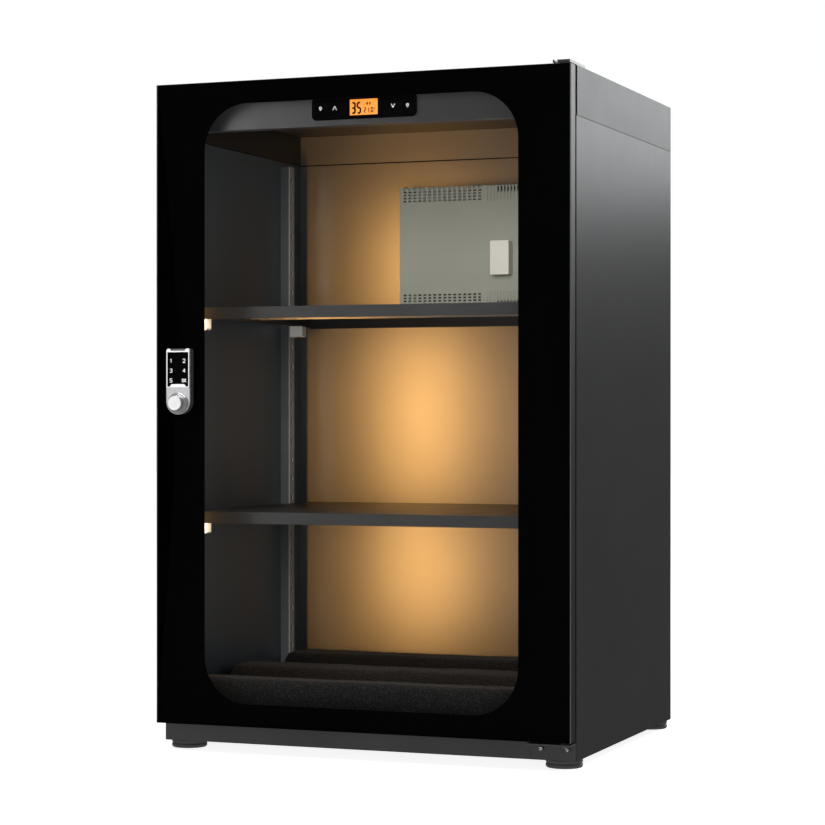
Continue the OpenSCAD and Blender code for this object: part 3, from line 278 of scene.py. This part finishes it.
def post_material():
    """Dark paint on the slotted uprights, with a painted highlight of the strips' warm light along
    the folded edge beside the shelves.
    """
    t = Tree("post_paint_and_highlight")
    fold_width = 0.0016
    fold_x = abs(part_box("post_rear_left")[1].x) + fold_width
    # Mask of the inward folded edge, which gets a painted highlight
    fold_highlight = t.math("LESS_THAN", t.math("ABSOLUTE", t.axis(t.place, "X")), fold_x)
    paint = t.blend(t.spread(t.noise(9.0), 0, 1), (0.060, 0.060, 0.060), (0.072, 0.071, 0.070))
    # The pale warm colour along the folded edge is a painted highlight, standing in for the strips'
    # light on the bend
    t.set(Base_Color=t.blend(fold_highlight, paint, (0.30, 0.285, 0.27)),
          Roughness=t.spread(t.noise(24.0), 0.39, 0.45))
    t.bump(t.noise(650.0, 2.0), 0.00003, 0.0004)
    return t.material


def bezel_material():
    """Satin chrome, ground duller on the foot round the knob."""
    t = Tree("bezel_chrome")
    keypad_part = 0.0523
    foot_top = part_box("lock_bezel")[1].z - keypad_part
    foot = t.math("LESS_THAN", t.axis(t.place, "Z"), foot_top)
    grain = t.spread(t.noise(1100.0, 3.0), 0, 1)
    t.set(Base_Color=t.blend(foot, t.blend(grain, (0.74, 0.74, 0.76), (0.84, 0.84, 0.86)),
                             t.blend(grain, (0.46, 0.46, 0.47), (0.80, 0.80, 0.81))),
          Roughness=t.spread(foot, 0.22, 0.31, (0, 1)), Metallic=1.0)
    t.bump(t.noise(1500.0, 2.0), 0.000008, 0.0005)
    return t.material


def lamp_strip():
    """Light strip: pale board with bright warm lamps along its rear face."""
    t = Tree("lamp_strip")
    lamp_depth = 0.0007
    lamps_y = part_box("led_strip_left")[1].y - lamp_depth
    lamp = t.math("GREATER_THAN", t.axis(t.place, "Y"), lamps_y)
    board = t.blend(t.spread(t.noise(300.0), 0, 1), (0.72, 0.70, 0.62), (0.82, 0.80, 0.72))
    t.set(Base_Color=board, Emission_Color=t.blend(lamp, (0.0, 0.0, 0.0), (1.0, 0.66, 0.30)),
          Emission_Strength=6.0, Roughness=0.4)
    return t.material


def foam_material():
    """Open-cell foam: nearly black with pale flecks and deep pores."""
    t = Tree("foam_dark")
    flecks = t.spread(t.noise(520.0, 4.0, rough=0.7), 0, 1, (0.55, 0.72))
    pores = t.cells(330.0)
    t.set(Base_Color=t.blend(flecks, (0.0064, 0.0062, 0.0060), (0.098, 0.092, 0.088)),
          Roughness=t.spread(pores, 0.75, 0.95, (0, 0.6)), Sheen_Weight=0.15,
          Specular_IOR_Level=0.25)
    relief = t.math("ADD", t.math("MULTIPLY", pores, 0.7), t.noise(900.0, 3.0, rough=0.7))
    t.bump(relief, 0.0011)
    return t.material


def printed(name, colour, glow=0.0):
    """Thin print or lit mark of slightly uneven tone."""
    t = Tree(name)
    tone = t.blend(t.spread(t.noise(700.0), 0, 1), tuple(c * 0.9 for c in colour), colour)
    t.set(Base_Color=tone, Roughness=0.45, Emission_Color=tone, Emission_Strength=glow,
          Specular_IOR_Level=0.1)
    return t.material


give(cabinet_paint, "side_panel_left", "side_panel_right")
give(cap_paint, "top_cap")
give(plinth_paint, "base_tray", "hinge_bracket_bottom")
give(header_paint, "header_bar")
give(inner_paint, "floor_panel")
give(sheet_material(), "back_panel", "ceiling_panel")
give(wall_paint, "shelf_stiffeners")
give(post_material(), "post_front_left", "post_front_right", "post_rear_left", "post_rear_right")
give(shelf_paint, "shelf_lower", "shelf_upper")
give(hinge_steel, "hinge_bracket_top")
give(screw_black, "hinge_screws", "hinge_pins")
give(plated, "strike_plate", "foot_nuts", "lock_back_plate", "lock_screws",
     "lock_spindle", "lock_cam", "cam_nut", "shutter_motor", "shutter_shaft")
give(dark_screw, "dehumidifier_screws")
give(black_gloss, "control_panel", "lock_keypad")
give(amber_display(), "lcd_display")
give(lamp_strip(), "led_strip_left", "led_strip_right")
give(board_green, "control_board", "dehumidifier_board")
give(black_plastic, "power_jack", "corner_keys", "vent_shutter", "hinge_washers")
give(clip_plastic, "shelf_clips")
give(white_plastic, "desiccant_cartridge")
give(aluminium, "heater_plate")
give(housing_plastic, "dehumidifier_base", "dehumidifier_cover")
give(sensor_plastic, "sensor_box")
give(mask_print, "door_mask")
give(alu_side, "door_stiles", "door_rails")
give(rubber, "door_seal", "cap_gasket")
give(bezel_material(), "lock_bezel")
give(knob_satin, "lock_knob")
give(lock_side, "lock_housing")
give(foot_rubber, "foot_front_left", "foot_front_right", "foot_rear_left", "foot_rear_right")
give(glass_material(), "door_glass")


# ---------------------------------------------------------------- mesh helpers
def finished(work, name):
    """Mesh of a bmesh, with its normals outwards."""
    bmesh.ops.recalc_face_normals(work, faces=work.faces)
    mesh = bpy.data.meshes.new(name)
    work.to_mesh(mesh)
    work.free()
    return mesh


def new_piece(name, mesh_data, material, body):
    """Piece that rides a body and has no CAD of its own."""
    piece = bpy.data.objects.new(name, mesh_data)
    scene.collection.objects.link(piece)
    piece.data.materials.append(material)
    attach(piece, body)
    return piece


def plate_mesh(name, outlines, face_y):
    """Flat marks on the plane y: each outline of (x, z) becomes a thin closed plate."""
    proud, sunk = 0.00006, 0.0002
    work = bmesh.new()
    for outline in outlines:
        front = [work.verts.new((x, face_y - proud, z)) for x, z in outline]
        back = [work.verts.new((x, face_y + sunk, z)) for x, z in outline]
        work.faces.new(front)
        work.faces.new(back[::-1])
        for i in range(len(outline)):
            j = (i + 1) % len(outline)
            work.faces.new((front[j], front[i], back[i], back[j]))
    return finished(work, name)


def bar(x0, z0, x1, z1, width):
    """Outline of a straight stroke with pointed ends."""
    start, end = Vector((x0, z0)), Vector((x1, z1))
    along = (end - start).normalized() * width / 2
    side = Vector((-along.y, along.x))
    return [tuple(p) for p in (start - along * 0.4, start + side, end + side,
                               end + along * 0.4, end - side, start - side)]


SEGMENTS = {"0": "abcdef", "1": "bc", "2": "abged", "3": "abgcd", "5": "afgcd", "8": "abcdefg"}


def digit(char, x, z, w, h, stroke):
    """Seven-segment figure whose lower left corner is at (x, z)."""
    g = min(stroke * 0.62, w * 0.12)  # gap at a stroke's end
    spans = {"a": (g, h, w - g, h), "b": (w, h - g, w, h / 2 + g), "c": (w, h / 2 - g, w, g),
             "d": (g, 0, w - g, 0), "e": (0, h / 2 - g, 0, g), "f": (0, h - g, 0, h / 2 + g),
             "g": (g, h / 2, w - g, h / 2)}
    return [bar(x + a, z + b, x + c, z + d, stroke)
            for a, b, c, d in (spans[s] for s in SEGMENTS[char])]


# ---------------------------------------------------------------- display and touch marks
lcd_low, lcd_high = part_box("lcd_display")
lcd_w, lcd_h = lcd_high.x - lcd_low.x, lcd_high.z - lcd_low.z


def on_lcd(char, left, right, bottom, top, stroke):
    """Figure on the display, placed by fractions of its width and height."""
    return digit(char, lcd_low.x + left * lcd_w + stroke / 2,
                 lcd_low.z + bottom * lcd_h + stroke / 2,
                 (right - left) * lcd_w - stroke, (top - bottom) * lcd_h - stroke, stroke)


def dash_on_lcd(across, bottom, top, stroke):
    """Upright dash on the display, placed by fractions."""
    x = lcd_low.x + across * lcd_w
    return [bar(x, lcd_low.z + bottom * lcd_h, x, lcd_low.z + top * lcd_h, stroke)]


lcd_marks = (on_lcd("3", 0.050, 0.220, 0.07, 0.85, 0.0026)
             + on_lcd("5", 0.245, 0.415, 0.07, 0.85, 0.0026)
             + on_lcd("2", 0.500, 0.595, 0.13, 0.47, 0.0013)
             + on_lcd("1", 0.610, 0.700, 0.13, 0.47, 0.0013)
             + on_lcd("0", 0.755, 0.850, 0.13, 0.47, 0.0013)
             + dash_on_lcd(0.727, 0.12, 0.17, 0.0011)
             + on_lcd("1", 0.45, 0.53, 0.64, 0.78, 0.0010)
             + on_lcd("8", 0.59, 0.655, 0.62, 0.80, 0.0010)
             + on_lcd("0", 0.69, 0.755, 0.62, 0.80, 0.0010)
             + dash_on_lcd(0.90, 0.30, 0.44, 0.0009))
new_piece("lcd_marks", plate_mesh("lcd_marks", lcd_marks, lcd_low.y),
          printed("display_print", (0.016, 0.006, 0.003)), "cabinet")

panel_low, panel_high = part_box("control_panel")
panel_mid = (panel_low.z + panel_high.z) / 2


def ring_strokes(x, z, radius, width, count=12):
    """Ring made of short strokes."""
    turns = [2 * math.pi * i / count for i in range(count + 1)]
    points = [(x + radius * math.cos(turn), z + radius * math.sin(turn)) for turn in turns]
    return [bar(*a, *b, width) for a, b in zip(points, points[1:])]


# From the left: a lamp mark, an up arrow, a down arrow and a ring over a dot
outer_x, arrow_x, arrow_half, icon_r, icon_w = 0.0620, 0.0415, 0.0027, 0.0016, 0.0006
icons = (ring_strokes(-outer_x, panel_mid + 0.0010, icon_r, icon_w)
         + [bar(-outer_x - 0.0008, panel_mid - 0.0018, -outer_x + 0.0008, panel_mid - 0.0018,
                icon_w)]
         + [bar(-arrow_x - arrow_half, panel_mid - 0.0024, -arrow_x, panel_mid + 0.0026, icon_w),
            bar(-arrow_x, panel_mid + 0.0026, -arrow_x + arrow_half, panel_mid - 0.0024, icon_w)]
         + [bar(arrow_x - arrow_half, panel_mid + 0.0024, arrow_x, panel_mid - 0.0026, icon_w),
            bar(arrow_x, panel_mid - 0.0026, arrow_x + arrow_half, panel_mid + 0.0024, icon_w)]
         + ring_strokes(outer_x, panel_mid, icon_r, icon_w)
         + [bar(outer_x, panel_mid - 0.0036, outer_x, panel_mid - 0.0026, icon_w)])
new_piece("touch_icons", plate_mesh("touch_icons", icons, panel_low.y),
          printed("icon_print", (0.80, 0.80, 0.80), 1.0), "cabinet")

# Key labels in two columns: five figures and a confirm mark
pad_low, pad_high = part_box("lock_keypad")
pad_x = (pad_low.x + pad_high.x) / 2
key_columns = (pad_x - 0.0102, pad_x + 0.0092)
key_rows = [pad_high.z - drop for drop in (0.0116, 0.0248, 0.0380)]
FIGURES = {
    "1": [[(-0.3, 0.25), (0.05, 0.5), (0.05, -0.5)]],
    "2": [[(-0.42, 0.32), (-0.2, 0.5), (0.2, 0.5), (0.42, 0.25), (0.3, 0.0), (-0.42, -0.5),
           (0.45, -0.5)]],
    "3": [[(-0.42, 0.38), (-0.1, 0.5), (0.3, 0.45), (0.4, 0.25), (0.2, 0.04), (-0.1, 0.02)],
          [(0.2, 0.04), (0.44, -0.2), (0.3, -0.46), (-0.1, -0.5), (-0.42, -0.36)]],
    "4": [[(0.22, -0.5), (0.22, 0.5), (-0.45, -0.18), (0.45, -0.18)]],
    "5": [[(0.4, 0.5), (-0.34, 0.5), (-0.38, 0.08), (0.1, 0.14), (0.42, -0.15), (0.25, -0.45),
           (-0.1, -0.5), (-0.42, -0.38)]],
    "O": [[(-0.45, -0.2), (-0.45, 0.2), (-0.2, 0.5), (0.2, 0.5), (0.45, 0.2), (0.45, -0.2),
           (0.2, -0.5), (-0.2, -0.5), (-0.45, -0.2)]],
    "K": [[(-0.4, 0.5), (-0.4, -0.5)], [(0.42, 0.5), (-0.36, -0.02), (0.45, -0.5)]],
}


def figure(char, x, z, w, h, stroke):
    """Figure drawn with straight strokes round its centre (x, z)."""
    w, h = w - stroke, h - stroke
    return [bar(x + a[0] * w, z + a[1] * h, x + b[0] * w, z + b[1] * h, stroke)
            for line in FIGURES[char] for a, b in zip(line, line[1:])]


key_marks = []
for index, char in enumerate("12345"):
    key_marks += figure(char, key_columns[index % 2], key_rows[index // 2], 0.0048, 0.0056, 0.0008)
for char, shift in (("O", -0.0018), ("K", 0.0019)):
    key_marks += figure(char, key_columns[1] + shift, key_rows[2], 0.0034, 0.0050, 0.0009)
new_piece("key_marks", plate_mesh("key_marks", key_marks, pad_low.y),
          printed("key_print", (0.86, 0.86, 0.86), 0.35), "door")


# ---------------------------------------------------------------- screw heads
def screw_head(work, x, y, z, radius):
    """Low dome with a hexagon socket, facing -Y round (x, z) on the plane y."""
    rise, count, sixth = 0.0009, 24, math.pi / 3
    # Shares of the radius and of the rise, from the rim in to the socket's floor
    profile = [(1.0, 0.0), (0.97, 0.35), (0.85, 0.72), (0.62, 1.0), (0.46, 1.0), (0.43, 0.15)]
    rings = []
    for share, height in profile:
        ring = []
        for i in range(count):
            angle = 2 * math.pi * i / count
            corner = math.cos(sixth / 2) / math.cos(angle % sixth - sixth / 2)
            reach = radius * share * (corner if share < 0.5 else 1.0)
            ring.append(work.verts.new((x + reach * math.cos(angle), y - rise * height,
                                        z + reach * math.sin(angle))))
        rings.append(ring)
    for a, b in zip(rings, rings[1:]):
        for i in range(count):
            j = (i + 1) % count
            work.faces.new((a[i], a[j], b[j], b[i]))
    work.faces.new(rings[-1])
    work.faces.new(rings[0][::-1])


def lower_screw_heads():
    """Domes over the two screws of the lower hinge bracket."""
    low_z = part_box("hinge_bracket_bottom")[1].z
    points = [v.co.copy() for v in nodes["hinge_screws"].data.vertices if v.co.z < low_z]
    middle = (min(p.x for p in points) + max(p.x for p in points)) / 2
    front = min(p.y for p in points)
    work = bmesh.new()
    for group in ([p for p in points if p.x < middle], [p for p in points if p.x >= middle]):
        xs, zs = [p.x for p in group], [p.z for p in group]
        screw_head(work, (min(xs) + max(xs)) / 2, front, (min(zs) + max(zs)) / 2,
                   (max(zs) - min(zs)) / 2)
    new_piece("screw_domes", finished(work, "screw_domes"), screw_black, "cabinet")


lower_screw_heads()


# ---------------------------------------------------------------- foam pad
def foam_profile(y, low, high):
    """Height of the pad's top at y: three ridges with sloping sides."""
    ridges, first, pitch, top, slope = 3, low.y + 0.010, 0.186, 0.062, 0.026
    valley, crest = low.z + 0.0237, high.z
    best = valley
    for i in range(ridges):
        away = abs(y - (first + i * pitch)) - top / 2
        rise = 1 - min(max(away / slope, 0.0), 1.0)
        best = max(best, valley + (crest - valley) * rise)
    return best


def foam_piece():
    """Padded stand-in for the CAD pad, with rounded rims and an uneven surface."""
    low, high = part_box("foam_pad")
    step, inset, radius, blur = 0.0035, 0.0012, 0.006, 0.003
    nx = round((high.x - low.x) / step)
    ny = round((high.y - low.y) / step)
    work = bmesh.new()

    def top_at(x, y):
        taps = [foam_profile(min(max(y + d * blur, low.y), high.y), low, high)
                for d in (-2, -1, 0, 1, 2)]
        smooth = sum(taps) / len(taps)
        edge = min(x - low.x, high.x - x, y - low.y, high.y - y)
        if edge < radius:
            smooth -= radius - math.sqrt(max(radius ** 2 - (radius - edge) ** 2, 0.0))
        wave = noise.noise(Vector((x * 14, y * 14, 1.7))) * 0.0012
        pits = noise.noise(Vector((x * 160, y * 160, 4.1))) * 0.0007
        return min(smooth - inset + wave + pits, high.z)

    xs = [low.x + (high.x - low.x) * i / nx for i in range(nx + 1)]
    ys = [low.y + (high.y - low.y) * j / ny for j in range(ny + 1)]
    top = [[work.verts.new((x, y, top_at(x, y))) for y in ys] for x in xs]
    for i in range(nx):
        for j in range(ny):
            work.faces.new((top[i][j], top[i + 1][j], top[i + 1][j + 1], top[i][j + 1]))
    rim = ([top[i][0] for i in range(nx + 1)] + [top[nx][j] for j in range(1, ny + 1)]
           + [top[i][ny] for i in range(nx - 1, -1, -1)]
           + [top[0][j] for j in range(ny - 1, 0, -1)])
    rows = [rim]
    for k in (1, 2, 3):
        rows.append([work.verts.new((v.co.x, v.co.y, v.co.z + (low.z - v.co.z) * k / 3))
                     for v in rim])
    for a, b in zip(rows, rows[1:]):
        for i in range(len(rim)):
            j = (i + 1) % len(rim)
            work.faces.new((a[j], a[i], b[i], b[j]))
    work.faces.new(rows[-1])
    mesh = finished(work, "foam")
    for face in mesh.polygons:
        face.use_smooth = True
    piece = new_piece("foam_ridged", mesh, foam_material(), "cabinet")
    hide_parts("foam_pad")


foam_piece()


# ---------------------------------------------------------------- studio
def floor_material():
    """Pale floor that glows enough to meet the white background."""
    t = Tree("floor_pale")
    tone = t.blend(t.spread(t.noise(0.6), 0, 1), (0.86, 0.86, 0.86), (0.88, 0.88, 0.88))
    t.set(Base_Color=tone, Roughness=0.8, Emission_Color=tone, Emission_Strength=0.98,
          Specular_IOR_Level=0.1)
    return t.material


floor_mesh = bpy.data.meshes.new("floor")
reach = 14.0
floor_mesh.from_pydata([(-reach, -reach, 0), (reach, -reach, 0), (reach, reach, 0),
                        (-reach, reach, 0)], [], [(0, 1, 2, 3)])
floor = bpy.data.objects.new("floor", floor_mesh)
floor.visible_glossy = False
floor.data.materials.append(floor_material())
scene.collection.objects.link(floor)

# White to the camera, dim grey to everything else
world = bpy.data.worlds.new("studio")
scene.world = world
world.use_nodes = True
sky = world.node_tree
ray = sky.nodes.new("ShaderNodeLightPath")
shade = sky.nodes.new("ShaderNodeMix")
shade.data_type = "RGBA"
shade.inputs["A"].default_value = (0.10, 0.10, 0.103, 1)
shade.inputs["B"].default_value = (1.0, 1.0, 1.0, 1)
sky.links.new(ray.outputs["Is Camera Ray"], shade.inputs["Factor"])
sky.links.new(shade.outputs["Result"], sky.nodes["Background"].inputs["Color"])
sky.nodes["Background"].inputs["Strength"].default_value = 1.0


def area(name, at, to, size, radiance, colour=(1, 1, 1)):
    """Rectangular light of that radiance at a place, aimed at a point; size is (width, height)."""
    data = bpy.data.lights.new(name, "AREA")
    data.shape = "RECTANGLE"
    data.size, data.size_y = size
    data.energy = math.pi * size[0] * size[1] * radiance
    data.color = colour
    lamp = bpy.data.objects.new(name, data)
    scene.collection.objects.link(lamp)
    lamp.location = at
    lamp.rotation_mode = "QUATERNION"
    lamp.rotation_quaternion = (Vector(to) - Vector(at)).to_track_quat("-Z", "Y")
    lamp.visible_camera = False
    return lamp


def linked(lamp, state, *names):
    """Lets a light reach only the named nodes (INCLUDE), or all but them (EXCLUDE)."""
    group = bpy.data.collections.new(lamp.name + "_reach")
    for name in names:
        group.objects.link(nodes[name] if name in nodes else bpy.data.objects[name])
    for entry in group.collection_objects:
        entry.light_linking.link_state = state
    lamp.light_linking.receiver_collection = group


WALL = ("back_panel", "ceiling_panel", "shelf_stiffeners")
GLASS = ("door_glass", "door_mask", "control_panel", "lock_keypad")
INSIDE = ("dehumidifier_cover", "dehumidifier_base", "sensor_box", "post_front_left",
          "post_front_right", "post_rear_left", "post_rear_right", "shelf_clips",
          "vent_shutter", "dehumidifier_screws")

linked(area("top_softbox", (0.2, -0.6, 3.4), (0.1, 0.0, 0.0), (3.2, 3.2), 3.0),
       "EXCLUDE", "floor", *GLASS, *WALL)
linked(area("side_softbox", (1.55, 2.9, 1.95), (0.3, 0.0, 0.95), (2.4, 1.8), 2.75,
            (0.97, 0.99, 1.0)), "EXCLUDE", *GLASS, *WALL)
linked(area("front_softbox", (-1.6, -2.9, 0.9), (0.0, -0.2, 0.5), (1.0, 1.8), 1.4),
       "EXCLUDE", *GLASS, *WALL, *INSIDE)
linked(area("inside_fill", (0.5, -3.2, 1.1), (0.0, 0.2, 0.5), (1.6, 1.6), 12.5,
            (0.97, 1.0, 1.0)), "INCLUDE", *INSIDE)

# Warm light of the strips; the back wall mirrors the left one as a broad glow
AMBER = (1.0, 0.53, 0.16)
wall_y = 0.25
strip_low, strip_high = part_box("led_strip_left")
left_x = (strip_low.x + strip_high.x) / 2
strip_h = strip_high.z - strip_low.z
strip_z = (strip_low.z + strip_high.z) / 2
glow_size, glow_z = (0.030, strip_h - 0.06), strip_z - 0.012
for label, side, share in (("left", 1, 1.0), ("right", -1, 0.15)):
    glow = area("strip_wall_" + label, (side * (left_x + 0.034), strip_high.y + 0.012, glow_z),
                (side * left_x * 0.2, wall_y, glow_z), glow_size, 22.0 * share, AMBER)
    linked(glow, "INCLUDE", *WALL)
    spill = area("strip_room_" + label, (side * left_x, strip_high.y + 0.001, strip_z),
                 (side * left_x * 0.1, wall_y, strip_z), (0.012, strip_h), 3.5, AMBER)
    linked(spill, "EXCLUDE", "side_panel_left", *WALL)

# Grey studio light that the back wall picks up
linked(area("wall_fill", (-1.6, -2.9, 0.9), (0.0, 0.2, 0.5), (2.4, 2.4), 0.035,
            (0.78, 0.92, 1.0)), "INCLUDE", *WALL)
# The header bar's brighter left end
linked(area("header_fill", (-0.36, -0.52, 0.80), (-0.2, -0.2, 0.86), (0.2, 0.2), 3.2),
       "INCLUDE", "header_bar")
# Soft light on the left inner wall, cool enough to offset the strips' amber
linked(area("left_wall_fill", (0.0, 0.10, 0.47), (-0.29, 0.10, 0.47), (0.3, 0.85), 2.1,
            (0.66, 0.87, 1.0)), "INCLUDE", "side_panel_left")
# The foam's front and its crests
linked(area("foam_fill", (1.3, -2.0, 0.6), (0.0, 0.0, 0.1), (1.2, 1.2), 0.6,
            (1.0, 0.96, 0.91)), "INCLUDE", "foam_ridged")
linked(area("foam_top_fill", (0.0, -0.02, 0.27), (0.0, -0.02, 0.0), (0.4, 0.3), 0.7,
            (1.0, 0.80, 0.64)), "INCLUDE", "foam_ridged")
# Glints on the lower hinge screws
linked(area("screw_gleam", (-0.05, -1.12, 0.24), (0.24, -0.24, 0.045), (0.4, 0.4), 4.5),
       "INCLUDE", "screw_domes")
# Warm gleam on the clips next to the left strip
clip_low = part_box("shelf_clips")[0]
for shelf in ("shelf_lower", "shelf_upper"):
    clip_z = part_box(shelf)[0].z - 0.004
    linked(area("clip_gleam_" + shelf, (clip_low.x + 0.035, clip_low.y - 0.03, clip_z),
                (clip_low.x + 0.006, clip_low.y + 0.004, clip_z - 0.004), (0.02, 0.02), 60.0,
                (1.0, 0.80, 0.52)), "INCLUDE", "shelf_clips")

sun_data = bpy.data.lights.new("floor_sun", "SUN")
sun_data.angle = math.radians(70)
sun_data.energy = 0.80
sun = bpy.data.objects.new("floor_sun", sun_data)
scene.collection.objects.link(sun)
linked(sun, "INCLUDE", "floor")

# Place, lens and turn solved from the straight edges in the photograph
camera_data = bpy.data.cameras.new("camera")
camera_data.lens = 104.44
camera_data.sensor_width = 36.0
camera_data.shift_y = 0.0035
camera = bpy.data.objects.new("camera", camera_data)
camera.location = (1.1986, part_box("door_glass")[0].y - 2.8945, 0.45255)
camera.rotation_euler = (math.radians(90), 0, math.radians(21.15))
scene.collection.objects.link(camera)
scene.camera = camera
scene.view_settings.view_transform = "Standard"
